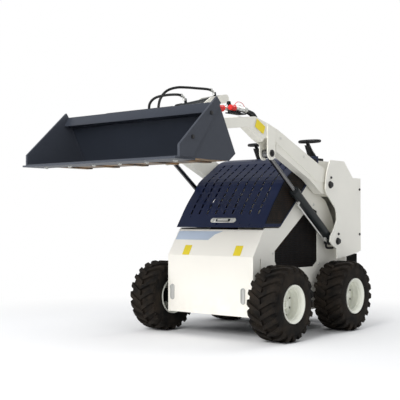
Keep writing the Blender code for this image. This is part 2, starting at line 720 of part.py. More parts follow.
def tilt_beam(body):
    """Rear beam between the arms, with two welded cheeks that hold the tilt cylinder's pin."""
    beam = PIVOT + Vector(REAR_BEAM)
    inner = BASE_EYE_WIDTH / 2 + SIDE_PLAY
    inside = BEAM / 2 - WELD
    outline = [(beam.x - inside, beam.y), (beam.x + inside, beam.y)]
    outline += [TILT_FOOT + Vector(p) for p in ((-0.190, -0.085), (-0.120, -0.050))]
    outline += arc(TILT_FOOT, CHEEK_RADIUS, -60, 100, 8)
    outline += [TILT_FOOT + Vector(p) for p in ((-0.150, -0.005), (-0.235, -0.060))]
    welded = [prism(outline, *mirrored(inner, inner + LUG_PLATE, side)) for side in (1, -1)]
    reach = inner + LUG_PLATE / 2
    welded.append(rod(at_x(-reach, TILT_FOOT), at_x(reach, TILT_FOOT), SMALL_PIN))
    combine("tilt_beam", cross_beam(beam), welded, "UNION", "body_paint", body)


# ---------------------------------------------------------------------------------------------------
# Cylinders
# ---------------------------------------------------------------------------------------------------
def barrel(name, x, foot, head, radius, length, rod_radius, pin_radius, width, parent, ports=()):
    """Eye on its pin, round barrel and open gland, from foot towards head."""
    aim = (Vector(head) - Vector(foot)).normalized()
    lug = turned([(-width / 2, 0.0), (-width / 2, EYE_RADIUS), (width / 2, EYE_RADIUS),
                  (width / 2, 0.0)], at_x(x, foot), 24)
    start = at_x(x, Vector(foot) + aim * (EYE_RADIUS - 3 * WELD))
    end = at_x(x, Vector(foot) + aim * length)
    body = rod(start, end, radius, 24, rod_radius + ROD_PLAY)
    extras = [lug]
    up = Vector((-aim.y, aim.x)) if aim.x > 0 else Vector((aim.y, -aim.x))
    for distance in ports:
        base = Vector(foot) + aim * distance
        extras.append(rod(at_x(x, base + up * (radius - 0.002)), at_x(x, base + up * (radius + PORT_HEIGHT)),
                          PORT_RADIUS, 12))
    thing = combine(name, body, extras, "UNION", "cylinder_paint", parent, True)
    hole = rod(at_x(x - width, foot), at_x(x + width, foot), pin_radius + RUN)
    add_tools(thing, [hole], "DIFFERENCE")


def cylinder_rod(name, x, eye, foot, radius, length_inside, barrel_length, pin_radius, parent):
    """Rod from inside the barrel to the bored eye at its end."""
    aim = (Vector(eye) - Vector(foot)).normalized()
    tail = at_x(x, Vector(foot) + aim * (barrel_length - length_inside))
    head = at_x(x, Vector(eye) - aim * (EYE_RADIUS - WELD))
    bar = rod(tail, head, radius)
    lug = turned([(-EYE_WIDTH / 2, pin_radius), (-EYE_WIDTH / 2, EYE_RADIUS),
                  (EYE_WIDTH / 2, EYE_RADIUS), (EYE_WIDTH / 2, pin_radius)], at_x(x, eye), 24)
    combine(name, bar, [lug], "UNION", "rod_steel", parent, True)


def lift_cylinders(machine):
    for hand, side in SIDES:
        x = side * ARM_PLANE
        hinge = frame("lift_barrel_%s_axis" % hand, at_x(x, LIFT_BASE), machine)
        barrel("lift_barrel_" + hand, x, LIFT_BASE, LIFT_PIN, LIFT_BARREL_RADIUS, LIFT_BARREL_LENGTH,
               LIFT_ROD_RADIUS, PIN_RADIUS, EYE_WIDTH, hinge)
        slide = frame("lift_rod_%s_axis" % hand, at_x(x, LIFT_PIN), machine)
        cylinder_rod("lift_rod_" + hand, x, LIFT_PIN, LIFT_BASE, LIFT_ROD_RADIUS, LIFT_ROD_INSIDE,
                     LIFT_BARREL_LENGTH, SMALL_PIN, slide)


def tilt_cylinder(machine):
    hinge = frame("tilt_barrel_axis", at_x(0.0, TILT_FOOT), machine)
    barrel("tilt_barrel", 0.0, TILT_FOOT, TILT_PIN, TILT_BARREL_RADIUS, TILT_BARREL_LENGTH,
           TILT_ROD_RADIUS, SMALL_PIN, BASE_EYE_WIDTH, hinge, PORT_INSET)
    slide = frame("tilt_rod_axis", at_x(0.0, TILT_PIN), machine)
    cylinder_rod("tilt_rod", 0.0, TILT_PIN, TILT_FOOT, TILT_ROD_RADIUS, TILT_ROD_INSIDE,
                 TILT_BARREL_LENGTH, SMALL_PIN + RUN, slide)


# ---------------------------------------------------------------------------------------------------
# Bucket and quick hitch
# ---------------------------------------------------------------------------------------------------
def bucket(machine):
    axis = frame("bucket_axis", at_x(0.0, HITCH), machine)
    half = BUCKET_WIDTH / 2
    inner = half - SIDE_SHEET - GAP
    top = HITCH + BUCKET_TOP
    heel = HITCH + BUCKET_HEEL
    floor = HITCH + BUCKET_FLOOR
    toe = HITCH + BUCKET_TOE
    back = [top, heel, floor, toe]
    shell = prism(strip(back, -BUCKET_SHEET), -inner, inner)
    lip = prism(lip_outline(heel, top), -inner + WELD, inner - WELD)
    combine("bucket_shell", shell, [lip], "UNION", "bucket_paint", axis)
    cheek = back + [HITCH + BUCKET_CHEEK, HITCH + BUCKET_PEAK]
    for hand, side in SIDES:
        low, high = mirrored(half - SIDE_SHEET, half, side)
        piece("bucket_side_" + hand, prism(cheek, low, high), "bucket_paint", axis)
    edge = box((-half, toe.x - EDGE_REACH, toe.y - EDGE_PLATE - GAP), (half, toe.x + 0.130, toe.y - GAP))
    piece("cutting_edge", edge, "bucket_paint", axis)
    hitch_plate(axis, heel, top)


def lip_outline(heel, top):
    """Folded stiffener inside the top of the bucket's back."""
    up = (top - heel).normalized()
    ahead = Vector((-up.y, up.x)) * (BUCKET_SHEET - WELD)
    nose = top + LIP_NOSE
    wall = BUCKET_SHEET
    ends = [top + ahead - up * distance for distance in (0.0, LIP_FOOT, LIP_FOOT - wall, wall * 1.5)]
    inward = ((ends[0] + ends[1]) / 2 - nose).normalized() * (wall * 1.6)
    return [ends[0], nose, ends[1], ends[2], nose + inward, ends[3]]


def hitch_plate(axis, heel, top):
    """Plate on the bucket's back, with two pairs of lower lugs and one pair of upper lugs."""
    up = (top - heel).normalized()
    out = Vector((up.y, -up.x))
    if out.x < 0:
        out = -out
    base = heel + up * 0.004 + out * GAP
    plate_line = [base, base + up * HITCH_HEIGHT]
    face = out * HITCH_SHEET
    outline = plate_line + [plate_line[1] + face, plate_line[0] + face]
    plate = prism(outline, -HITCH_WIDTH / 2, HITCH_WIDTH / 2)
    seat = out * (HITCH_SHEET - 0.001)
    turn = math.degrees(math.atan2(out.y, out.x))
    lugs = []
    for centre, radius, pairs in ((HITCH, 0.028, (-LEG_PLANE, LEG_PLANE)), (TILT_PIN, 0.030, (0.0,))):
        reach = (centre - base).dot(up)
        lower = max(reach - 0.045, 0.002)
        root = [base + seat + up * lower, base + seat + up * (reach + 0.045)]
        shape = [root[1], root[0]] + arc(centre, radius, turn - 90, turn + 90, 8)
        width = LEG_WIDTH if pairs[0] else EYE_WIDTH
        for middle in pairs:
            for side in (-1, 1):
                inner = middle + side * (width / 2 + SIDE_PLAY)
                outer = inner + side * LUG_PLATE
                lugs.append(prism(shape, min(inner, outer), max(inner, outer)))
            if middle:
                reach = width / 2 + SIDE_PLAY + LUG_PLATE / 2
                lugs.append(rod(at_x(middle - reach, centre), at_x(middle + reach, centre), SMALL_PIN))
    combine("hitch_plate", plate, lugs, "UNION", "black_steel", axis)


def main():
    clear_scene()
    machine = frame("machine", (0.0, -(FOREMOST + REARMOST) / 2, TYRE_RADIUS))
    wheels(machine)
    body_shell(machine)
    side_frames(machine)
    towers(machine)
    console(machine)
    platform(machine)
    hood(machine)
    arms(machine)
    lift_cylinders(machine)
    tilt_cylinder(machine)
    bucket(machine)


main()
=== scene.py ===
"""Looks of the mini skid steer loader: finishes, tread, bolts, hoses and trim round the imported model."""
import json
import math

import bmesh
import bpy
from mathutils import Matrix, Vector


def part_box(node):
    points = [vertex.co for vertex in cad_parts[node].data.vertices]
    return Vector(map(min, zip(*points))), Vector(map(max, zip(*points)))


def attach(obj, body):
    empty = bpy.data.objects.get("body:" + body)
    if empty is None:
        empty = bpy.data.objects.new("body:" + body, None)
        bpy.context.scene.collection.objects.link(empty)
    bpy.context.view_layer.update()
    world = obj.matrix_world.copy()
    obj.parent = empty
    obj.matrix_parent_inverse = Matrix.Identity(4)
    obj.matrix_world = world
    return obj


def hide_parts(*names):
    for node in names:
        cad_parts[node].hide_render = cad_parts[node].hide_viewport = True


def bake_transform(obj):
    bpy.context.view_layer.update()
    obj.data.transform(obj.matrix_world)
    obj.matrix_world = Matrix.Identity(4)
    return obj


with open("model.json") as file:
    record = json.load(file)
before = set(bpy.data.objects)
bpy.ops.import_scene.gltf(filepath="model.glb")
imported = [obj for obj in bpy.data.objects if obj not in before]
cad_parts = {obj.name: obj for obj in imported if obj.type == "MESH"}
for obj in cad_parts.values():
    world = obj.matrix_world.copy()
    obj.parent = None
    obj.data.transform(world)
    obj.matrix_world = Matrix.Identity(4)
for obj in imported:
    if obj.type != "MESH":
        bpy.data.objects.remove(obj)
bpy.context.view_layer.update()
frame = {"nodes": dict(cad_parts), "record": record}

NODES = frame["nodes"]
JOINTS = {joint["name"]: joint for joint in frame["record"]["behaviour"]["joints"]}
SIDES = (("left", 1), ("right", -1))


def joint_place(name):
    return Vector(JOINTS[name]["pos_m"])


def low(node):
    return Vector(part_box(node)[0])


def high(node):
    return Vector(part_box(node)[1])


# ---------------------------------------------------------------------------------------------------
# Places and sizes, from the frame
# ---------------------------------------------------------------------------------------------------
PIVOT = joint_place("arm_lift")
HITCH = joint_place("bucket_tilt")
LIFT_BASE = joint_place("lift_barrel_left_swing")
LIFT_EYE = joint_place("lift_rod_left_slide")
TILT_BASE = joint_place("tilt_barrel_swing")
TILT_EYE = joint_place("tilt_rod_slide")
FRONT_WHEEL = joint_place("wheel_front_left_spin")
REAR_WHEEL = joint_place("wheel_rear_left_spin")
AXLE_MIDDLE = (FRONT_WHEEL.y + REAR_WHEEL.y) / 2
TYRE_RADIUS = FRONT_WHEEL.z
TYRE_HALF = (high("tyre_front_left").x - low("tyre_front_left").x) / 2
BODY_SIDE = high("side_frame_left").x
TOWER_SIDE = high("tower_left").x
ARM_IN = low("arm_left").x
NOSE = low("front_panel").y
LABEL_THICK = 0.0006


# ---------------------------------------------------------------------------------------------------
# Materials
# ---------------------------------------------------------------------------------------------------
def new_material(name):
    material = bpy.data.materials.new(name)
    material.use_nodes = True
    return material, material.node_tree, material.node_tree.nodes["Principled BSDF"]


def link(tree, source, target):
    tree.links.new(source, target)


def noise(tree, scale, detail=4.0, roughness=0.55):
    where = tree.nodes.new("ShaderNodeTexCoord")
    texture = tree.nodes.new("ShaderNodeTexNoise")
    texture.inputs["Scale"].default_value = scale
    texture.inputs["Detail"].default_value = detail
    texture.inputs["Roughness"].default_value = roughness
    link(tree, where.outputs["Object"], texture.inputs["Vector"])
    return texture


def ramp(tree, source, stops):
    band = tree.nodes.new("ShaderNodeValToRGB")
    band.color_ramp.elements[0].position = stops[0][0]
    band.color_ramp.elements[0].color = (*stops[0][1], 1.0)
    band.color_ramp.elements[1].position = stops[-1][0]
    band.color_ramp.elements[1].color = (*stops[-1][1], 1.0)
    for position, colour in stops[1:-1]:
        element = band.color_ramp.elements.new(position)
        element.color = (*colour, 1.0)
    link(tree, source, band.inputs["Fac"])
    return band


def blend_dust_and_painted_light(tree, colour, dust_and_painted_light, top, amount):
    """Blends dust and painted light over a colour: dust on most finishes, a painted reflection on the
    bucket's worn floor and painted shade in the shaded hollows; in patches everywhere, or below a height
    where top is given.
    """
    patches = ramp(tree, noise(tree, 9.0, 6.0, 0.7).outputs["Fac"],
                   ((0.38, (0.0,) * 3), (0.75, (amount,) * 3)))
    factor = patches.outputs["Color"]
    if top is not None:
        place = tree.nodes.new("ShaderNodeNewGeometry")
        split = tree.nodes.new("ShaderNodeSeparateXYZ")
        link(tree, place.outputs["Position"], split.inputs["Vector"])
        height = tree.nodes.new("ShaderNodeMapRange")
        height.inputs["From Min"].default_value = top
        height.inputs["From Max"].default_value = 0.0
        link(tree, split.outputs["Z"], height.inputs["Value"])
        both = tree.nodes.new("ShaderNodeMath")
        both.operation = "MULTIPLY"
        link(tree, height.outputs["Result"], both.inputs[0])
        link(tree, factor, both.inputs[1])
        factor = both.outputs["Value"]
    return mixed(tree, factor, colour, dust_and_painted_light)


def mixed(tree, factor, colour, other):
    blend = tree.nodes.new("ShaderNodeMix")
    blend.data_type = "RGBA"
    link(tree, factor, blend.inputs["Factor"])
    link(tree, colour, blend.inputs["A"])
    blend.inputs["B"].default_value = (*other, 1.0)
    return blend.outputs["Result"]


def mottled(name, colour, variation=0.08, scale=6.0, rough=(0.35, 0.5), metallic=0.0, bump=0.05,
            bump_scale=260.0, dust_and_painted_light=None, dust_top=None, dust_and_painted_light_amount=0.6, edge=None, shine=0.5):
    """A painted, moulded or metal finish: uneven colour and gloss, fine bump, patches of dust and painted
    light, and a painted highlight on sharp edges.
    """
    material, tree, shader = new_material(name)
    spread = noise(tree, scale)
    darker = tuple(c * (1.0 - variation) for c in colour)
    lighter = tuple(min(1.0, c * (1.0 + variation)) for c in colour)
    result = ramp(tree, spread.outputs["Fac"], ((0.3, darker), (0.7, lighter))).outputs["Color"]
    if dust_and_painted_light is not None:
        result = blend_dust_and_painted_light(tree, result, dust_and_painted_light, dust_top, dust_and_painted_light_amount)
    # painted highlight: sharp edges turn to the lighter edge colour
    if edge is not None:
        shape = tree.nodes.new("ShaderNodeNewGeometry")
        lit_edges = ramp(tree, shape.outputs["Pointiness"], ((0.53, (0.0, 0.0, 0.0)), (0.60, (1.0, 1.0, 1.0))))
        result = mixed(tree, lit_edges.outputs["Color"], result, edge)
    link(tree, result, shader.inputs["Base Color"])
    gloss = noise(tree, scale * 4.0, 5.0)
    level = tree.nodes.new("ShaderNodeMapRange")
    level.inputs["To Min"].default_value = rough[0]
    level.inputs["To Max"].default_value = rough[1]
    link(tree, gloss.outputs["Fac"], level.inputs["Value"])
    link(tree, level.outputs["Result"], shader.inputs["Roughness"])
    shader.inputs["Metallic"].default_value = metallic
    shader.inputs["Specular IOR Level"].default_value = shine
    grain = noise(tree, bump_scale, 3.0)
    relief = tree.nodes.new("ShaderNodeBump")
    relief.inputs["Strength"].default_value = bump
    relief.inputs["Distance"].default_value = 0.001
    link(tree, grain.outputs["Fac"], relief.inputs["Height"])
    link(tree, relief.outputs["Normal"], shader.inputs["Normal"])
    return material


DUST = (0.30, 0.24, 0.17)
MUD = (0.050, 0.036, 0.024)
CREAM = mottled("cream_paint", (0.93, 0.90, 0.82), 0.02, 3.0, (0.36, 0.48), dust_and_painted_light=DUST, dust_top=0.30,
                dust_and_painted_light_amount=0.35, shine=0.4)
WHITE = mottled("white_paint", (0.88, 0.86, 0.78), 0.03, 3.0, (0.38, 0.5), dust_and_painted_light=DUST, dust_top=0.40,
                dust_and_painted_light_amount=0.35, shine=0.4)
ARM_PAINT = mottled("arm_paint", (0.86, 0.84, 0.75), 0.03, 4.0, (0.38, 0.5), shine=0.4)
HOOD = mottled("hood_paint", (0.003, 0.009, 0.042), 0.15, 3.0, (0.24, 0.34), shine=0.25)
# the edge colour is a painted highlight along the bucket's sharp edges
CHARCOAL = mottled("bucket_paint", (0.014, 0.018, 0.027), 0.12, 5.0, (0.34, 0.48), shine=0.25,
                   edge=(0.050, 0.056, 0.070))
# worn steel whose golden-brown patches are a painted reflection
WORN_AND_SHEEN = mottled("worn_steel_and_sheen", (0.045, 0.040, 0.036), 0.25, 5.0, (0.36, 0.55), metallic=0.3,
               dust_and_painted_light=(0.42, 0.24, 0.09), dust_and_painted_light_amount=1.0, bump=0.3)
BARREL = mottled("cylinder_paint", (0.015, 0.018, 0.019), 0.10, 8.0, (0.30, 0.44), shine=0.3)
CHROME = mottled("rod_steel", (0.20, 0.20, 0.20), 0.05, 20.0, (0.18, 0.30), metallic=1.0, bump=0.02)
RUBBER = mottled("tyre_rubber", (0.006, 0.0055, 0.005), 0.30, 12.0, (0.72, 0.92), bump=0.25,
                 bump_scale=180.0, dust_and_painted_light=MUD, dust_and_painted_light_amount=0.6, shine=0.15)
RIM = mottled("rim_paint", (0.84, 0.85, 0.76), 0.04, 9.0, (0.36, 0.52), dust_and_painted_light=DUST, dust_and_painted_light_amount=0.12,
              shine=0.4)
BLACK = mottled("black_steel", (0.006, 0.006, 0.007), 0.20, 10.0, (0.45, 0.62), bump=0.12, shine=0.2)
PIN = mottled("pin_steel", (0.055, 0.055, 0.055), 0.15, 25.0, (0.30, 0.45), metallic=0.8)
ZINC = mottled("zinc", (0.72, 0.72, 0.68), 0.08, 40.0, (0.25, 0.40), metallic=0.6)
HOSE = mottled("hose_rubber", (0.010, 0.010, 0.010), 0.20, 30.0, (0.50, 0.65), bump=0.5,
               bump_scale=420.0, shine=0.3)
GRIP = mottled("grip_plastic", (0.008, 0.008, 0.009), 0.15, 30.0, (0.36, 0.5), bump=0.15, shine=0.35)
CAST = mottled("cast_iron", (0.05, 0.05, 0.055), 0.25, 18.0, (0.55, 0.75), metallic=0.3, bump=0.4)
# painted shade: grey standing for the shading round the pressed handles
GRIP_SHADE = mottled("grip_painted_shade", (0.50, 0.50, 0.48), 0.04, 8.0, (0.40, 0.50), shine=0.4)
YELLOW = mottled("yellow_label", (0.86, 0.68, 0.03), 0.04, 8.0, (0.35, 0.45), shine=0.3)
BLUE = mottled("blue_decal", (0.50, 0.58, 0.70), 0.06, 5.0, (0.35, 0.45), shine=0.3)
# painted shade: a dark sheet standing for the shade seen through holes and openings, with brownish patches of
# painted shade
SHADE = mottled("shaded_hollow", (0.036, 0.027, 0.020), 0.35, 40.0, (0.70, 0.85), dust_and_painted_light=(0.10, 0.065, 0.04),
                dust_and_painted_light_amount=0.8, shine=0.1)
RED = mottled("red_cap", (0.68, 0.025, 0.02), 0.08, 20.0, (0.35, 0.50), shine=0.4)

SLOT_FINISH = {"body_paint": CREAM, "hood_paint": HOOD, "bucket_paint": CHARCOAL, "cylinder_paint": BARREL,
               "rod_steel": CHROME, "tyre_rubber": RUBBER, "rim_paint": RIM, "black_steel": BLACK,
               "pin_steel": PIN, "grip_plastic": GRIP, "cast_metal": CAST}
# the side screens' plates take SHADE, painted shade behind the mesh
NODE_FINISH = (("side_frame_", WHITE), ("tower_", WHITE), ("arm_l", ARM_PAINT), ("arm_r", ARM_PAINT),
               ("hitch_beam", ARM_PAINT), ("tilt_beam", ARM_PAINT), ("side_screen_", SHADE))


def finish_nodes():
    """Gives each CAD node the finish of its slot, or its own."""
    for part in frame["record"]["subparts"]:
        node = part["node"]
        material = SLOT_FINISH[part["material_slot"]]
        for start, finish in NODE_FINISH:
            if node.startswith(start):
                material = finish
        for slot in NODES[node].material_slots:
            slot.material = material


# ---------------------------------------------------------------------------------------------------
# Making pieces
# ---------------------------------------------------------------------------------------------------
def mesh_object(name, bm, material):
    """A mesh object that isn't yet on any body."""
    bmesh.ops.recalc_face_normals(bm, faces=bm.faces)
    mesh = bpy.data.meshes.new(name)
    bm.to_mesh(mesh)
    bm.free()
    mesh.materials.append(material)
    thing = bpy.data.objects.new(name, mesh)
    bpy.context.collection.objects.link(thing)
    return thing


def piece(name, bm, material, body, smooth=True):
    """A visible piece that rides a body."""
    thing = mesh_object(name, bm, material)
    if smooth:
        thing.data.shade_smooth()
        thing.data.set_sharp_from_angle(angle=math.radians(35))
    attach(thing, body)
    return thing


def bevelled_box(bm, size, matrix, bevel=0.0015):
    made = bmesh.ops.create_cube(bm, size=1.0, matrix=matrix @ Matrix.Diagonal((*size, 1.0)))
    edges = {edge for vertex in made["verts"] for edge in vertex.link_edges}
    if bevel:
        bmesh.ops.bevel(bm, geom=list(edges), offset=bevel, segments=2, affect="EDGES", profile=0.5)


def disc(bm, radius, depth, matrix, sides=24, top=None):
    """A short round or six-sided body along the matrix's Z, from 0 to depth."""
    bmesh.ops.create_cone(bm, cap_ends=True, segments=sides, radius1=radius,
                          radius2=radius if top is None else top, depth=depth,
                          matrix=matrix @ Matrix.Translation((0, 0, depth / 2)))


def facing(place, direction):
    """A matrix at a place whose Z looks along a direction."""
    return Matrix.Translation(place) @ Vector(direction).to_track_quat("Z", "Y").to_matrix().to_4x4()


def bolt(bm, place, direction, across=0.010, depth=0.006):
    """Hexagon head with a washer and a domed end."""
    matrix = facing(place, direction)
    disc(bm, across * 1.15, 0.0015, matrix, 20)
    disc(bm, across, depth, matrix @ Matrix.Translation((0, 0, 0.0015)), 6)
    disc(bm, across * 0.55, 0.0015, matrix @ Matrix.Translation((0, 0, 0.0015 + depth)), 12, across * 0.35)


def skin(bm, rings):
    """Four-sided faces from each ring of vertices to the next."""
    for first, second in zip(rings, rings[1:]):
        for k in range(len(first)):
            after = (k + 1) % len(first)
            bm.faces.new((first[k], first[after], second[after], second[k]))


def turned(bm, outline, centre, side, sides=96):
    """Rings about an X axis. outline: closed loop of (x, radius)."""
    rings = []
    for x, radius in outline:
        ring = []
        for k in range(sides):
            t = 2 * math.pi * k / sides
            ring.append(bm.verts.new((centre.x + side * x, centre.y + radius * math.sin(t),
                                      centre.z - radius * math.cos(t))))
        rings.append(ring)
    skin(bm, rings + rings[:1])


# ---------------------------------------------------------------------------------------------------
# Wheels
# ---------------------------------------------------------------------------------------------------
LUGS = 21                   # bars on each half of the tread
LUG_DEPTH = 0.015
LUG_THICK = 0.028
LUG_LEAN = 0.26             # radians round the tyre, from the shoulder to the middle
LUG_STEPS = 6
BEAD_IN = 0.0175            # from the tyre's widest place in to its bead
HUB_FACE = 0.0125           # of the rim's disc, out from the wheel's middle
WHEEL_BOLTS = 5
BOLT_RING = 0.052           # radius of the bolts' circle
RIM_HOLES = 8
HOLE_RING = 0.076
# the rim's three raised rings, each a closed (x, radius) outline
RIM_RINGS = (((0.057, 0.098), (0.066, 0.098), (0.064, 0.0925), (0.059, 0.0925)),
             ((0.026, 0.091), (0.036, 0.093), (0.034, 0.0865), (0.028, 0.0850)),
             ((0.011, 0.0600), (0.0165, 0.0600), (0.0165, 0.0660), (0.011, 0.0665)))


def lug(bm, centre, side, half, turn, lean):
    """One tread bar: from the shoulder towards the middle, leaning round the tyre."""
    rows = []
    for k in range(LUG_STEPS + 1):
        t = k / LUG_STEPS
        x = half * (0.985 - 1.02 * t) * side
        angle = turn + lean * t
        crown = TYRE_RADIUS - 0.0006 - 0.100 * max(0.0, abs(x) / half - 0.70) ** 1.5
        root = TYRE_RADIUS - LUG_DEPTH - 0.022 - 0.02 * max(0.0, abs(x) / half - 0.8)
        width = (LUG_THICK * (1.25 - 0.25 * t)) / TYRE_RADIUS / 2
        row = []
        for radius, spread in ((root, 1.35), (crown, 0.85), (crown, -0.85), (root, -1.35)):
            a = angle + width * spread
            row.append(bm.verts.new((centre.x + x, centre.y + radius * math.sin(a),
                                     centre.z - radius * math.cos(a))))
        rows.append(row)
    skin(bm, rows)
    bm.faces.new(rows[0])
    bm.faces.new(list(reversed(rows[-1])))


def tyres_and_hubs():
    """Round tyres with their tread in place of the plain ones, and what is seen inside the rims."""
    half = TYRE_HALF
    bead = half - BEAD_IN
    base = TYRE_RADIUS - LUG_DEPTH
    wall = [(bead, 0.1048), (bead, 0.1160), (half - 0.006, 0.1185), (half - 0.001, 0.130),
            (half, 0.150), (half - 0.001, 0.172), (half - 0.004, 0.186), (half - 0.011, base - 0.012),
            (half - 0.028, base - 0.002), (half - 0.055, base)]
    outline = wall + [(-x, radius) for x, radius in reversed(wall)]
    for end in ("front", "rear"):
        for hand, side in SIDES:
            centre = joint_place("wheel_%s_%s_spin" % (end, hand))
            body = "wheel_%s_%s" % (end, hand)
            bm = bmesh.new()
            turned(bm, outline, centre, side)
            for k in range(LUGS):
                step = 2 * math.pi / LUGS
                lug(bm, centre, 1, half, step * k, LUG_LEAN)
                lug(bm, centre, -1, half, step * (k + 0.5), LUG_LEAN)
            tyre = piece("tread_%s_%s" % (end, hand), bm, RUBBER, body)
            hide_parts("tyre_%s_%s" % (end, hand))
            bm = bmesh.new()
            face = centre + Vector((side * HUB_FACE, 0, 0))
            disc(bm, 0.034, 0.022, facing(face, (side, 0, 0)), 32, 0.030)
            disc(bm, 0.018, 0.010, facing(face + Vector((side * 0.022, 0, 0)), (side, 0, 0)), 6)
            for k in range(WHEEL_BOLTS):
                t = 2 * math.pi * k / WHEEL_BOLTS
                place = face + Vector((side * 0.001, BOLT_RING * math.sin(t), BOLT_RING * math.cos(t)))
                bolt(bm, place, (side, 0, 0), 0.0085, 0.009)
            for outline_of_ring in RIM_RINGS:
                turned(bm, outline_of_ring, centre, side, 64)
            piece("hub_%s_%s" % (end, hand), bm, RIM, body)
            # painted shade: dark discs stand for the holes in the rim's disc
            bm = bmesh.new()
            for k in range(RIM_HOLES):
                t = 2 * math.pi * (k + 0.5) / RIM_HOLES
                place = centre + Vector((side * 0.0145, HOLE_RING * math.sin(t), HOLE_RING * math.cos(t)))
                disc(bm, 0.0062, 0.0022, facing(place, (side, 0, 0)), 20)
            piece("rim_holes_%s_%s" % (end, hand), bm, SHADE, body, False)


# ---------------------------------------------------------------------------------------------------
# Bolts, pin heads and trim
# ---------------------------------------------------------------------------------------------------
def pin_heads():
    for hand, side in SIDES:
        out = Vector((side, 0, 0))
        bm = bmesh.new()
        for centre in (PIVOT, LIFT_BASE):
            head = Vector((side * TOWER_SIDE, centre.y, centre.z))
            disc(bm, 0.024, 0.004, facing(head, out), 32)
            disc(bm, 0.018, 0.012, facing(head + out * 0.004, out), 6)
            bolt(bm, head + Vector((0, 0.010, 0.048)), out, 0.0075, 0.006)
        for dy, dz in ((-0.006, -0.075), (-0.006, -0.385)):
            edge = Vector((side * TOWER_SIDE, high("tower_left").y + dy - 0.012, PIVOT.z + 0.054 + dz))
            bolt(bm, edge, out, 0.0075, 0.005)
        piece("pin_heads_" + hand, bm, PIN, "chassis")
        bm = bmesh.new()
        eye = Vector((side * high("arm_left").x, LIFT_EYE.y, LIFT_EYE.z))
        disc(bm, 0.021, 0.006, facing(eye, out), 32)
        disc(bm, 0.011, 0.006, facing(eye + out * 0.006, out), 6)
        piece("lift_eye_pin_" + hand, bm, PIN, "arms")


# pitch, width and thickness of the bars
SCREEN_MESH = (0.0145, 0.0042, 0.0036)
HOOD_MESH = (0.0130, 0.0046, 0.0014)


def inside_outline(corners, margin):
    """Half planes (point, inward direction) of a convex (y, z) outline, moved in by a margin."""
    middle = sum(corners, Vector((0, 0))) / len(corners)
    planes = []
    for first, second in zip(corners, corners[1:] + corners[:1]):
        run = (second - first).normalized()
        inward = Vector((-run.y, run.x))
        if inward.dot(middle - first) < 0:
            inward = -inward
        planes.append((first + inward * margin, inward))
    return planes


def clipped(start, run, planes):
    """The stretch of a line, as distances from start, that lies within all half planes."""
    first, last = -9.0, 9.0
    for point, inward in planes:
        rate = run.dot(inward)
        gap = (point - start).dot(inward)
        if abs(rate) < 1e-9:
            if gap > 0:
                return None
        elif rate > 0:
            first = max(first, gap / rate)
        else:
            last = min(last, gap / rate)
    return (first, last) if last - first > 0.004 else None


def square_mesh(bm, corners, margin, x, pitch, bar, thick):
    """Upright and level bars across a convex (y, z) outline."""
    planes = inside_outline(corners, margin)
    low_corner = Vector((min(c.x for c in corners), min(c.y for c in corners)))
    span = max(max(c.x for c in corners) - low_corner.x, max(c.y for c in corners) - low_corner.y)
    for run in (Vector((1, 0)), Vector((0, 1))):
        across = Vector((run.y, run.x))
        for k in range(1, int(span / pitch) + 1):
            start = low_corner + across * pitch * k
            stretch = clipped(start, run, planes)
            if stretch:
                middle = start + run * (stretch[0] + stretch[1]) / 2
                length = stretch[1] - stretch[0]
                size = (thick, bar + run.x * (length - bar), bar + run.y * (length - bar))
                bevelled_box(bm, size, Matrix.Translation((x, middle.x, middle.y)), 0.0)


def plate_corners(node):
    """The outline of a flat plate node, as (y, z) corners in order round its middle."""
    thing = NODES[node]
    points = {(round(q.y, 4), round(q.z, 4))
              for q in (thing.matrix_world @ v.co for v in thing.data.vertices)}
    points = [Vector(point) for point in points]
    middle = sum(points, Vector((0, 0))) / len(points)
    return sorted(points, key=lambda q: math.atan2(q.y - middle.y, q.x - middle.x))


def mesh_screens():
    """Square wire mesh over each side opening, with bolts at alternate corners."""
    corners = plate_corners("side_screen_left")
    for hand, side in SIDES:
        bm = bmesh.new()
        square_mesh(bm, corners, 0.013, side * (BODY_SIDE - 0.0055), *SCREEN_MESH)
        piece("side_mesh_" + hand, bm, BLACK, "chassis", False)
        bm = bmesh.new()
        middle = sum(corners, Vector((0, 0))) / len(corners)
        for corner in corners[::2]:
            place = middle + (corner - middle) * 1.035
            bolt(bm, (side * BODY_SIDE, place.x, place.y), (side, 0, 0), 0.008, 0.004)
        piece("screen_bolts_" + hand, bm, ZINC, "chassis")


# ---------------------------------------------------------------------------------------------------
# Front panel
# ---------------------------------------------------------------------------------------------------
PANEL_BEND = PIVOT.z - 0.456
RAKE = math.atan2(0.112, 0.164)     # of the panel above its bend: back by the first, up by the second


def flat_plate(bm, corners, normal, thickness):
    """A thin plate on corners in order, standing off along the normal."""
    lift = Vector(normal).normalized() * thickness
    back = [bm.verts.new(Vector(c)) for c in corners]
    front = [bm.verts.new(Vector(c) + lift) for c in corners]
    bm.faces.new(list(reversed(back)))
    bm.faces.new(front)
    skin(bm, [back, front])


def on_slope(x, z):
    """A point on the raked part of the front panel."""
    return Vector((x, NOSE + math.tan(RAKE) * (z - PANEL_BEND), z))


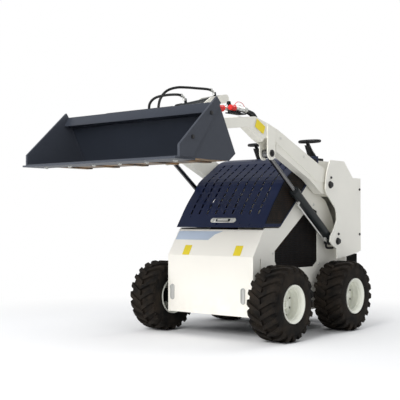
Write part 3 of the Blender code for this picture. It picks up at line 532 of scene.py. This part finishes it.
def panel_trim():
    ahead = Vector((0, -math.cos(RAKE), math.sin(RAKE)))
    bm = bmesh.new()
    outline = ((-0.332, 0.655), (-0.332, 0.600), (-0.060, 0.600), (-0.022, 0.636), (0.030, 0.655))
    flat_plate(bm, [on_slope(x, z) + ahead * 0.0002 for x, z in outline], ahead, LABEL_THICK)
    piece("front_decal", bm, BLUE, "chassis", False)
    for number, (x, z) in enumerate(((-0.195, 0.536), (0.210, 0.539))):
        bm = bmesh.new()
        corners = [(x - 0.026, z - 0.030), (x + 0.030, z - 0.030),
                   (x + 0.026, z + 0.030), (x - 0.030, z + 0.030)]
        front = NOSE - 0.0002
        flat_plate(bm, [(a, front if c <= PANEL_BEND else on_slope(a, c).y - 0.0012, c)
                        for a, c in corners], (0, -1, 0.25), LABEL_THICK)
        piece("front_label_%d" % number, bm, YELLOW, "chassis", False)
    for number, x in enumerate((-0.301, 0.264)):
        pressed_handle("panel_grip_%d" % number, Vector((x, NOSE, 0.265)), 0.050)


def pressed_handle(name, centre, half):
    """A raised rim round an upright oval recess, grey all over as painted shade of the pressed handle."""
    width = 0.017
    steps = 16
    loops = []
    for inset, out in ((0.0, 0.0002), (0.0015, 0.0060), (0.0040, 0.0066), (0.0060, 0.0006)):
        loop = []
        for end in (1, -1):
            for k in range(steps + 1):
                t = math.pi * k / steps + (0 if end > 0 else math.pi)
                radius = width - inset
                loop.append(centre + Vector((radius * math.cos(t), -out,
                                             end * (half - width) + radius * math.sin(t))))
        loops.append(loop)
    bm = bmesh.new()
    rows = [[bm.verts.new(point) for point in loop] for loop in loops]
    skin(bm, rows)
    bm.faces.new(rows[0])
    bm.faces.new(list(reversed(rows[-1])))
    piece(name + "_rim_painted_shade", bm, GRIP_SHADE, "chassis")


# ---------------------------------------------------------------------------------------------------
# Hood
# ---------------------------------------------------------------------------------------------------
# outline of the perforated part of the hood's side: y from the middle of the wheelbase, z from the floor
HOOD_GRILLE = ((-0.345, 0.706), (-0.262, 0.826), (-0.186, 0.913), (-0.125, 0.985), (-0.020, 1.050),
               (0.100, 1.098), (0.236, 1.132), (0.246, 1.092), (-0.178, 0.706))


def hood_trim():
    lip = low("hood")
    ahead = Vector((0, -0.823, 0.568))
    turn = facing(Vector((0.018, lip.y + 0.0304, lip.z + 0.044)), ahead)
    bm = bmesh.new()
    bevelled_box(bm, (0.166, 0.034, 0.003), turn @ Matrix.Translation((0, 0, 0.0015)), 0.001)
    for x in (-0.083, 0.083):
        disc(bm, 0.017, 0.003, turn @ Matrix.Translation((x, 0, 0)), 24)
        bolt(bm, turn @ Vector((x, 0, 0.003)), ahead, 0.006, 0.003)
    piece("latch_plate", bm, ZINC, "hood")
    bm = bmesh.new()
    # painted shade: a black plate stands for the shaded recess behind the latch handle
    bevelled_box(bm, (0.112, 0.022, 0.003), turn @ Matrix.Translation((0, 0, 0.0030)), 0.001)
    piece("latch_recess_shade", bm, BLACK, "hood")
    bm = bmesh.new()
    bevelled_box(bm, (0.084, 0.010, 0.006), turn @ Matrix.Translation((0, 0, 0.0065)), 0.002)
    piece("latch_handle", bm, ZINC, "hood")
    corners = [Vector(q) + Vector((AXLE_MIDDLE, 0)) for q in HOOD_GRILLE]
    for hand, side in SIDES:
        x = side * high("hood").x
        # painted shade: a dark sheet behind the perforated side stands for the shade inside the hood
        bm = bmesh.new()
        loop = [(x, q.x, q.y) for q in corners]
        if side > 0:
            loop.reverse()
        flat_plate(bm, loop, (side, 0, 0), LABEL_THICK)
        piece("hood_side_shade_" + hand, bm, SHADE, "hood", False)
        bm = bmesh.new()
        square_mesh(bm, corners, 0.0, x + side * 0.0012, *HOOD_MESH)
        for first, second in zip(corners, corners[1:] + corners[:1]):
            ends = [Vector((x + side * 0.0014, q.x, q.y)) for q in (first, second)]
            tube(bm, ends, 0.0028, 8)
        piece("hood_side_mesh_" + hand, bm, BLACK, "hood", False)


# ---------------------------------------------------------------------------------------------------
# Tubes and hoses
# ---------------------------------------------------------------------------------------------------
def smooth_path(points, steps):
    """A Catmull-Rom curve through the points."""
    points = [Vector(point) for point in points]
    ends = [2 * points[0] - points[1]] + points + [2 * points[-1] - points[-2]]
    path = []
    for k in range(1, len(ends) - 2):
        a, b, c, d = ends[k - 1:k + 3]
        for n in range(steps):
            t = n / steps
            path.append(0.5 * (2 * b + (c - a) * t + (2 * a - 5 * b + 4 * c - d) * t * t
                               + (3 * b - a - 3 * c + d) * t ** 3))
    path.append(points[-1])
    return path


def tube(bm, path, radius, sides=14, ribs=0.0):
    """A closed round tube along a path, with raised rings if ribs isn't zero."""
    up = Vector((0, 0, 1)) if abs((path[1] - path[0]).normalized().z) < 0.9 else Vector((0, 1, 0))
    rows = []
    for k, point in enumerate(path):
        run = (path[min(k + 1, len(path) - 1)] - path[max(k - 1, 0)]).normalized()
        across = run.cross(up).normalized()
        up = across.cross(run).normalized()
        size = radius * (1.0 - ribs * (k % 2))
        rows.append([bm.verts.new(point + size * (math.cos(2 * math.pi * n / sides) * across
                                                  + math.sin(2 * math.pi * n / sides) * up))
                     for n in range(sides)])
    skin(bm, rows)
    bm.faces.new(list(reversed(rows[0])))
    bm.faces.new(rows[-1])


def from_wheels(x, y, z):
    """A place stated from the middle of the wheelbase and the floor."""
    return Vector((x, AXLE_MIDDLE + y, z))


HOSE_DIAMETER = 0.016
FITTING_RADIUS = 0.0115     # over the corners of its hexagon
# routes of the two tilt hoses, as from_wheels takes them: from a port, over to the front beam
TILT_HOSES = (
    ("tilt_hose_front", ((0.000, -0.725, 1.478), (-0.010, -0.760, 1.481), (-0.060, -0.800, 1.478),
                         (-0.115, -0.838, 1.462), (-0.150, -0.850, 1.425), (-0.160, -0.838, 1.370),
                         (-0.162, -0.815, 1.330), (-0.162, -0.802, 1.298))),
    ("tilt_hose_rear", ((0.000, -0.438, 1.545), (-0.003, -0.490, 1.546), (-0.014, -0.560, 1.543),
                        (-0.030, -0.640, 1.540), (-0.050, -0.720, 1.532), (-0.072, -0.785, 1.505),
                        (-0.088, -0.822, 1.455), (-0.096, -0.830, 1.395), (-0.098, -0.815, 1.335),
                        (-0.098, -0.802, 1.298))))


def tilt_hoses():
    for name, route in TILT_HOSES:
        path = smooth_path([from_wheels(*point) for point in route], 5)
        bm = bmesh.new()
        fine = smooth_path(path, 3)
        tube(bm, fine, HOSE_DIAMETER / 2, 16, 0.05)
        start = path[0]
        end = path[-1]
        hose = mesh_object(name, bm, HOSE)
        hose.data.shade_smooth()
        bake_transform(hose)
        bm = bmesh.new()
        leave = (path[1] - path[0]).normalized()
        elbow = smooth_path([start + Vector((0, 0.020, -0.030)), start + Vector((0, 0.018, -0.010)),
                             start + Vector((0, 0.010, -0.001)), start + leave * 0.004], 4)
        tube(bm, elbow, 0.0085, 14)
        disc(bm, FITTING_RADIUS, 0.014, facing(start - leave * 0.002, leave), 6)
        ferrule = piece(name + "_elbow", bm, ZINC, "tilt_barrel")
        bm = bmesh.new()
        disc(bm, FITTING_RADIUS, 0.016, facing(end + Vector((0, 0, 0.004)), (0, 0, -1)), 6)
        disc(bm, 0.0150, 0.006, facing(end + Vector((0, 0, -0.006)), (0, 0, -1)), 24)
        socket = piece(name + "_socket", bm, ZINC, "arms")


# ---------------------------------------------------------------------------------------------------
# Cylinders
# ---------------------------------------------------------------------------------------------------
# base pin to the gland's face, barrel radius, rod radius
LIFT_CYLINDER = (0.557, 0.0285, 0.0145)
TILT_CYLINDER = (0.430, 0.0275, 0.0140)


def cylinder_trim():
    """Glands and welded rings on the three cylinders; steel pipes, fittings and hose stubs on the two lift
    cylinders only.
    """
    runs = [("lift_barrel_" + hand, Vector((side * LIFT_BASE.x, LIFT_BASE.y, LIFT_BASE.z)),
             Vector((side * LIFT_BASE.x, LIFT_EYE.y, LIFT_EYE.z)), *LIFT_CYLINDER)
            for hand, side in SIDES]
    runs.append(("tilt_barrel", TILT_BASE, TILT_EYE, *TILT_CYLINDER))
    for name, base, eye, length, radius, rod in runs:
        aim = (eye - base).normalized()
        bm = bmesh.new()
        gland = base + aim * (length - 0.040)
        disc(bm, radius + 0.0035, 0.042, facing(gland, aim), 40)
        disc(bm, rod + 0.006, 0.008, facing(gland + aim * 0.042, aim), 32, rod + 0.003)
        disc(bm, radius + 0.002, 0.006, facing(base + aim * 0.030, aim), 40)
        piece(name + "_gland", bm, BARREL, name)
        if name == "tilt_barrel":
            continue
        below = Vector((0, -abs(aim.z), -abs(aim.y)))
        start = base + aim * 0.075 + below * (radius + 0.004)
        bm = bmesh.new()
        far = base + aim * (length - 0.085)
        path = [start, start + below * 0.012 + aim * 0.010, start + below * 0.014 + aim * 0.04,
                far + below * (radius + 0.018) - aim * 0.03, far + below * (radius + 0.016),
                far + below * radius]
        tube(bm, smooth_path(path, 5), 0.0055, 12)
        disc(bm, 0.010, 0.016, facing(far + below * (radius - 0.002), below), 6)
        disc(bm, 0.011, 0.018, facing(start - below * 0.006, below), 6)
        disc(bm, 0.009, 0.022, facing(base + aim * 0.060 + below * (radius - 0.002), below), 6)
        piece(name + "_pipe", bm, ZINC, name)
        bm = bmesh.new()
        low_end = base + aim * 0.060 + below * (radius + 0.018)
        hose = [low_end, low_end + below * 0.010, low_end + below * 0.016 + Vector((0, 0.016, -0.004)),
                low_end + Vector((0, 0.020, -0.040)), base + Vector((0, 0.020, -0.046))]
        tube(bm, smooth_path(hose, 6), 0.0075, 14)
        piece(name + "_hose_stub", bm, HOSE, name)


# ---------------------------------------------------------------------------------------------------
# Arms
# ---------------------------------------------------------------------------------------------------
EAR_WALL = 0.007            # the lift eye's outer ear, which stands on the arm's side
COVER_THICK = 0.0035


def arm_trim():
    for hand, side in SIDES:
        outer = side * (high("arm_left").x - EAR_WALL)
        out = Vector((side, 0, 0))
        bm = bmesh.new()
        top = ((0.040, 0.066), (-0.300, 0.200), (-0.582, 0.312), (-0.640, 0.330), (-0.640, 0.262),
               (-0.590, 0.232), (-0.240, 0.070), (-0.150, 0.020), (0.020, 0.010))
        corners = [(outer, PIVOT.y + dy, PIVOT.z + dz) for dy, dz in top]
        if side < 0:
            corners.reverse()
        flat_plate(bm, corners, out, COVER_THICK)
        piece("arm_cover_" + hand, bm, ARM_PAINT, "arms", False)
        bm = bmesh.new()
        label = ((-0.532, 1.325), (-0.447, 1.284), (-0.468, 1.238), (-0.552, 1.276))
        face = outer + side * (COVER_THICK + 0.0001)
        flat_plate(bm, [from_wheels(face, y, z) for y, z in label], out, LABEL_THICK)
        piece("arm_label_" + hand, bm, YELLOW, "arms", False)
        bm = bmesh.new()
        for dy, dz in ((-0.02, 0.035), (-0.30, 0.168), (-0.56, 0.268)):
            bolt(bm, Vector((outer + side * COVER_THICK, PIVOT.y + dy, PIVOT.z + dz)), out, 0.0065, 0.004)
        piece("arm_cover_bolts_" + hand, bm, ZINC, "arms")


def couplers():
    """Quick couplers with red dust caps on a plate on the left arm."""
    x = (ARM_IN + high("arm_left").x) / 2
    ahead = Vector((0, -1, 0.06))
    bm = bmesh.new()
    bevelled_box(bm, (0.060, 0.125, 0.006), Matrix.Translation(from_wheels(x, -0.700, 1.3415)), 0.001)
    bevelled_box(bm, (0.045, 0.006, 0.045), Matrix.Translation(from_wheels(x, -0.685, 1.365)), 0.001)
    disc(bm, 0.006, 0.048, facing(from_wheels(x - 0.012, -0.752, 1.345), (0, 0, 1)), 12)
    disc(bm, 0.014, 0.018, facing(from_wheels(x - 0.012, -0.752, 1.390), (0, 0, 1)), 20, 0.010)
    piece("coupler_plate", bm, BLACK, "arms")
    bm = bmesh.new()
    for dx, y, z in ((-0.014, -0.812, 1.362), (0.016, -0.742, 1.368)):
        disc(bm, 0.017, 0.034, facing(from_wheels(x + dx, y, z), ahead), 28, 0.0155)
        disc(bm, 0.0185, 0.006, facing(from_wheels(x + dx, y + 0.006, z), ahead), 28)
    piece("coupler_caps", bm, RED, "arms")
    bm = bmesh.new()
    for dx, y, z in ((-0.014, -0.690, 1.362), (0.016, -0.650, 1.368)):
        disc(bm, 0.014, 0.115 if dx < 0 else 0.085, facing(from_wheels(x + dx, y, z), ahead), 28)
        disc(bm, 0.0165, 0.022, facing(from_wheels(x + dx, y - 0.030, z), ahead), 28)
        disc(bm, 0.0155, 0.024, facing(from_wheels(x + dx, y + 0.030, z), ahead), 6)
    piece("coupler_bodies", bm, ZINC, "arms")
    bm = bmesh.new()
    path = [(x + 0.020, -0.742, 1.385), (x + 0.024, -0.715, 1.405), (x + 0.022, -0.670, 1.402),
            (x + 0.018, -0.640, 1.384)]
    tube(bm, smooth_path([from_wheels(*q) for q in path], 6), 0.0018, 8)
    piece("cap_lanyard", bm, RED, "arms")
    bm = bmesh.new()
    for dx in (-0.014, 0.016):
        path = [(x + dx, -0.626, 1.366), (x + dx, -0.585, 1.362), (x + dx, -0.550, 1.354),
                (x + dx * 0.6, -0.515, 1.336)]
        tube(bm, smooth_path([from_wheels(*q) for q in path], 6), 0.0085, 14)
    piece("coupler_hoses", bm, HOSE, "arms")


# ---------------------------------------------------------------------------------------------------
# Bucket
# ---------------------------------------------------------------------------------------------------
CUTTER_THICK = 0.0055


def bucket_trim():
    """Runners and worn floor, worn steel with a painted golden-brown reflection, welds, bolts and side
    cutters, and the pin through the tilt rod's eye.
    """
    floor = low("bucket_shell").z
    front = low("cutting_edge").y
    edge = low("cutting_edge").z
    half = high("bucket_side_left").x
    bm = bmesh.new()
    for x in (-0.46, -0.23, 0.0, 0.23, 0.46):
        bevelled_box(bm, (0.050, 0.250, 0.008),
                     Matrix.Translation((x, HITCH.y - 0.235, floor - 0.0045)), 0.002)
    piece("bucket_runners", bm, WORN_AND_SHEEN, "bucket")
    bm = bmesh.new()
    bevelled_box(bm, (2 * half - 0.030, 0.262, 0.0012),
                 Matrix.Translation((0, HITCH.y - 0.222, floor - 0.0006)), 0.0)
    piece("bucket_floor_wear_and_sheen", bm, WORN_AND_SHEEN, "bucket", False)
    bm = bmesh.new()
    inner = half - 0.0085
    fold = [Vector((0, HITCH.y + dy, HITCH.z + dz)) for dy, dz in
            ((-0.185, 0.205), (-0.040, -0.052), (-0.089, -0.084), (-0.490, -0.084))]
    for side in (-1, 1):
        tube(bm, [q + Vector((side * inner, 0, 0)) for q in fold], 0.0035, 8)
    piece("bucket_welds", bm, CHARCOAL, "bucket")
    bm = bmesh.new()
    for k in range(6):
        x = half * (-0.85 + 0.34 * k)
        bolt(bm, (x, front + 0.105, edge), (0, 0, -1), 0.011, 0.006)
    piece("edge_bolts", bm, ZINC, "bucket")
    top = Vector((0, HITCH.y - 0.165, HITCH.z + 0.209))
    for hand, side in SIDES:
        out = Vector((side, 0, 0))
        bm = bmesh.new()
        toe = Vector((0, HITCH.y - 0.4985, HITCH.z - 0.0915))
        peak = Vector((0, HITCH.y - 0.1965, HITCH.z + 0.2405))
        cheek = Vector((0, HITCH.y - 0.4985, HITCH.z - 0.0305))
        corners = [cheek, peak, top, Vector((0, HITCH.y - 0.395, HITCH.z - 0.087)), toe]
        corners = [Vector((side * half, c.y, c.z)) for c in corners]
        if side > 0:
            corners.reverse()
        flat_plate(bm, corners, out, CUTTER_THICK)
        piece("side_cutter_" + hand, bm, CHARCOAL, "bucket", False)
        bm = bmesh.new()
        for f in (0.25, 0.75):
            place = cheek.lerp(peak, f) + Vector((0, 0.026, -0.024))
            bolt(bm, (side * (half + CUTTER_THICK), place.y, place.z), out, 0.010, 0.005)
        piece("cutter_bolts_" + hand, bm, PIN, "bucket")
    bm = bmesh.new()
    disc(bm, 0.0148, 0.074, facing(TILT_EYE + Vector((-0.037, 0, 0)), (1, 0, 0)), 28)
    for side in (-1, 1):
        disc(bm, 0.021, 0.006, facing(TILT_EYE + Vector((side * 0.0335, 0, 0)), (side, 0, 0)), 28)
    piece("tilt_eye_pin", bm, PIN, "bucket")


# ---------------------------------------------------------------------------------------------------
# Controls and platform
# ---------------------------------------------------------------------------------------------------
BOOT_RINGS = 20
BOOT_SIDES = 24


def controls():
    """Folded boots round the levers, and knobs on the console."""
    deck = high("console").z
    for hand in ("left", "right"):
        grip_low = low("lever_" + hand)
        grip_high = high("lever_" + hand)
        middle = (grip_low.x + grip_high.x) / 2
        foot = Vector((middle, grip_high.y - 0.012, deck + 0.024))
        head = Vector((middle, grip_low.y + 0.010, grip_high.z - 0.010))
        lean = (head - foot) / (head.z - foot.z)
        bm = bmesh.new()
        path = [foot + lean * (0.0045 * k) - Vector((0, 0, 0.021)) for k in range(BOOT_RINGS)]
        rows = []
        for k, point in enumerate(path):
            radius = (0.036 - 0.0009 * k) * (1.0 if k % 2 else 0.84)
            rows.append([bm.verts.new(point + Vector((radius * math.cos(2 * math.pi * n / BOOT_SIDES),
                                                      radius * math.sin(2 * math.pi * n / BOOT_SIDES), 0)))
                         for n in range(BOOT_SIDES)])
        skin(bm, rows)
        bm.faces.new(list(reversed(rows[0])))
        bm.faces.new(rows[-1])
        piece("lever_boot_" + hand, bm, HOSE, "chassis")
    bm = bmesh.new()
    middle = (low("console") + high("console")) / 2
    for k in range(3):
        disc(bm, 0.012, 0.010, facing(Vector((0.05 * (k - 1), middle.y + 0.02, deck)), (0, 0, 1)), 24, 0.010)
    disc(bm, 0.026, 0.006, facing(Vector((0, middle.y - 0.035, deck)), (0, 0, 1)), 36)
    piece("console_knobs", bm, ZINC, "chassis")


TREAD_ROWS = 7
TREAD_COLUMNS = 22
TREAD_INSET = 0.018         # from the deck's edges to the outer studs' middles


def platform_trim():
    first = low("platform_deck")
    last = high("platform_deck")
    bm = bmesh.new()
    for row in range(TREAD_ROWS):
        for column in range(TREAD_COLUMNS):
            x = first.x + TREAD_INSET + column * (last.x - first.x - 2 * TREAD_INSET) / (TREAD_COLUMNS - 1)
            y = first.y + TREAD_INSET + row * (last.y - first.y - 2 * TREAD_INSET) / (TREAD_ROWS - 1)
            turn = Matrix.Rotation(math.radians(45 if (row + column) % 2 else -45), 4, "Z")
            bevelled_box(bm, (0.018, 0.005, 0.0016), Matrix.Translation((x, y, last.z + 0.0008)) @ turn, 0.0)
    piece("platform_tread", bm, BLACK, "platform", False)
    hinge = joint_place("platform_fold")
    bm = bmesh.new()
    for side in (-1, 1):
        bevelled_box(bm, (0.012, 0.046, 0.060),
                     Matrix.Translation((side * (last.x + 0.0085), hinge.y - 0.004, hinge.z - 0.010)), 0.001)
        disc(bm, 0.010, 0.008, facing(Vector((side * (last.x + 0.0145), hinge.y, hinge.z)), (side, 0, 0)), 6)
    piece("platform_brackets", bm, BLACK, "chassis")


def mud_flaps():
    for hand, side in SIDES:
        tower = high("tower_left")
        bm = bmesh.new()
        bevelled_box(bm, (0.080, 0.006, 0.135),
                     Matrix.Translation((side * 0.386, tower.y - 0.042, TYRE_RADIUS + 0.198)), 0.001)
        piece("mud_flap_" + hand, bm, HOSE, "chassis")


# ---------------------------------------------------------------------------------------------------
# Camera, light and floor
# ---------------------------------------------------------------------------------------------------
def floor_paper():
    """Pale paper that takes the shadow near the machine and is plain white to the camera further off."""
    material, tree, shader = new_material("floor_paper")
    shader.inputs["Base Color"].default_value = (0.90, 0.90, 0.90, 1.0)
    shader.inputs["Roughness"].default_value = 0.9
    shader.inputs["Specular IOR Level"].default_value = 0.1
    where = tree.nodes.new("ShaderNodeTexCoord")
    reach = tree.nodes.new("ShaderNodeVectorMath")
    reach.operation = "LENGTH"
    link(tree, where.outputs["Object"], reach.inputs[0])
    far = ramp_between(tree, reach.outputs["Value"], 1.2, 3.0)
    rays = tree.nodes.new("ShaderNodeLightPath")
    both = tree.nodes.new("ShaderNodeMath")
    both.operation = "MULTIPLY"
    link(tree, far, both.inputs[0])
    link(tree, rays.outputs["Is Camera Ray"], both.inputs[1])
    white = tree.nodes.new("ShaderNodeEmission")
    mix = tree.nodes.new("ShaderNodeMixShader")
    link(tree, both.outputs["Value"], mix.inputs["Fac"])
    link(tree, shader.outputs["BSDF"], mix.inputs[1])
    link(tree, white.outputs["Emission"], mix.inputs[2])
    link(tree, mix.outputs["Shader"], tree.nodes["Material Output"].inputs["Surface"])
    return material


def ramp_between(tree, value, start, end):
    """0 up to start, rising smoothly to 1 at end."""
    spread = tree.nodes.new("ShaderNodeMapRange")
    spread.interpolation_type = "SMOOTHSTEP"
    spread.inputs["From Min"].default_value = start
    spread.inputs["From Max"].default_value = end
    link(tree, value, spread.inputs["Value"])
    return spread.outputs["Result"]


def white_room():
    """A world that is white to the camera and an even soft light to everything else."""
    world = bpy.data.worlds.new("studio")
    world.use_nodes = True
    tree = world.node_tree
    soft = tree.nodes["Background"]
    soft.inputs["Color"].default_value = (0.94, 0.96, 1.0, 1.0)
    soft.inputs["Strength"].default_value = 0.50
    white = tree.nodes.new("ShaderNodeBackground")
    white.inputs["Color"].default_value = (1.0, 1.0, 1.0, 1.0)
    rays = tree.nodes.new("ShaderNodeLightPath")
    mix = tree.nodes.new("ShaderNodeMixShader")
    link(tree, rays.outputs["Is Camera Ray"], mix.inputs["Fac"])
    link(tree, soft.outputs["Background"], mix.inputs[1])
    link(tree, white.outputs["Background"], mix.inputs[2])
    link(tree, mix.outputs["Shader"], tree.nodes["World Output"].inputs["Surface"])
    return world


def studio():
    azimuth = math.radians(39.32)
    elevation = math.radians(-1.27)
    data = bpy.data.cameras.new("camera")
    data.lens = 77.28
    data.sensor_width = 36.0
    camera = bpy.data.objects.new("camera", data)
    bpy.context.collection.objects.link(camera)
    camera.location = (3.360, AXLE_MIDDLE - 4.655, 0.733)
    back = Vector((math.sin(azimuth) * math.cos(elevation), -math.cos(azimuth) * math.cos(elevation),
                   math.sin(elevation)))
    camera.rotation_euler = back.to_track_quat("Z", "Y").to_euler()
    bpy.context.scene.camera = camera
    lights = (("key", (0.8, -5.2, 3.6), 3.0, 300.0), ("fill", (-4.5, -3.0, 2.5), 4.0, 60.0),
              ("rim", (1.0, 4.5, 4.0), 3.0, 120.0))
    for name, place, size, power in lights:
        lamp = bpy.data.lights.new(name, "AREA")
        lamp.size = size
        lamp.energy = power
        lamp_object = bpy.data.objects.new(name, lamp)
        lamp_object.location = place
        aim = Vector(place) - Vector((0, 0, 0.8))
        lamp_object.rotation_euler = aim.to_track_quat("Z", "Y").to_euler()
        bpy.context.collection.objects.link(lamp_object)
    bm = bmesh.new()
    bmesh.ops.create_grid(bm, x_segments=1, y_segments=1, size=30.0)
    mesh = bpy.data.meshes.new("floor")
    bm.to_mesh(mesh)
    bm.free()
    mesh.materials.append(floor_paper())
    floor = bpy.data.objects.new("floor", mesh)
    bpy.context.collection.objects.link(floor)
    bpy.context.scene.world = white_room()
    bpy.context.scene.view_settings.view_transform = "Standard"


studio()
finish_nodes()
tyres_and_hubs()
tilt_hoses()
pin_heads()
mesh_screens()
panel_trim()
hood_trim()
cylinder_trim()
arm_trim()
couplers()
bucket_trim()
controls()
platform_trim()
mud_flaps()
